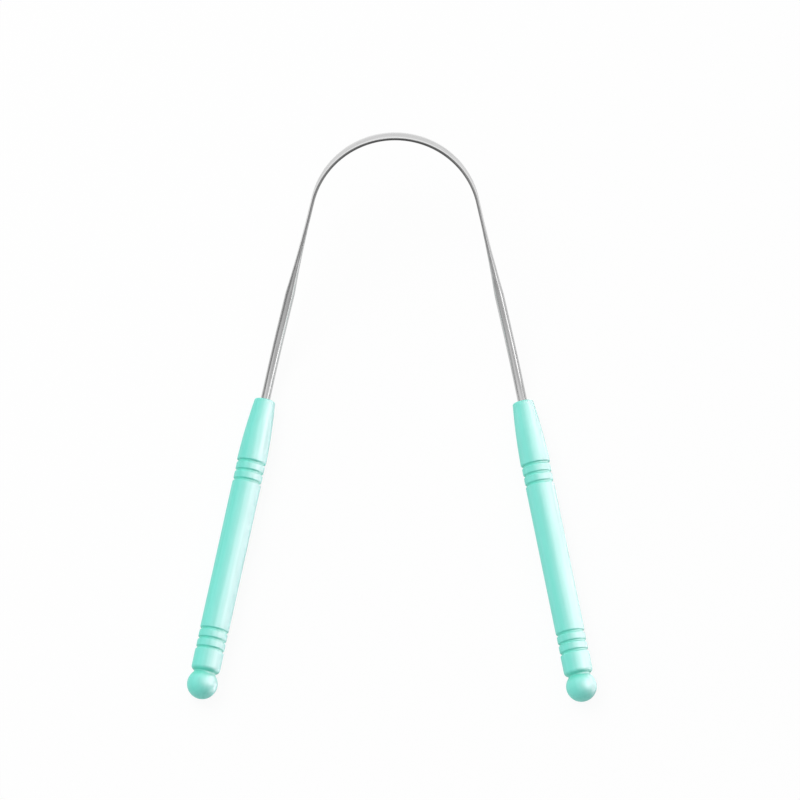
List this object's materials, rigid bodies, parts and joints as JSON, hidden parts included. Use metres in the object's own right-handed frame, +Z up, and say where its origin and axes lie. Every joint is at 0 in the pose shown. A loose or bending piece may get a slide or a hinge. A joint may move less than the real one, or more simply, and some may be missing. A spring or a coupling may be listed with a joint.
{
  "type": "tongue scraper",
  "caption": "Hand-held tongue scraper: a steel wire rolled flat and bent into a scraping bow, angled up from slim moulded plastic handles with ring grooves and ball ends.",
  "frame": {"origin": "middle of the footprint, on the surface that the scraper lies on", "axes": "+X towards the right handle, +Y from the ball ends towards the bow, +Z up, with both handles level and the bow rising"},
  "size_m": [0.107, 0.1462, 0.0366],
  "materials": {
    "steel": "drawn and rolled stainless wire, fine grain along its length",
    "handle_plastic": "mint moulded plastic, soft gloss"
  },
  "bodies": {
    "root": {"steel_bow": "steel", "left_handle": "handle_plastic", "right_handle": "handle_plastic"}
  },
  "joints": []
}
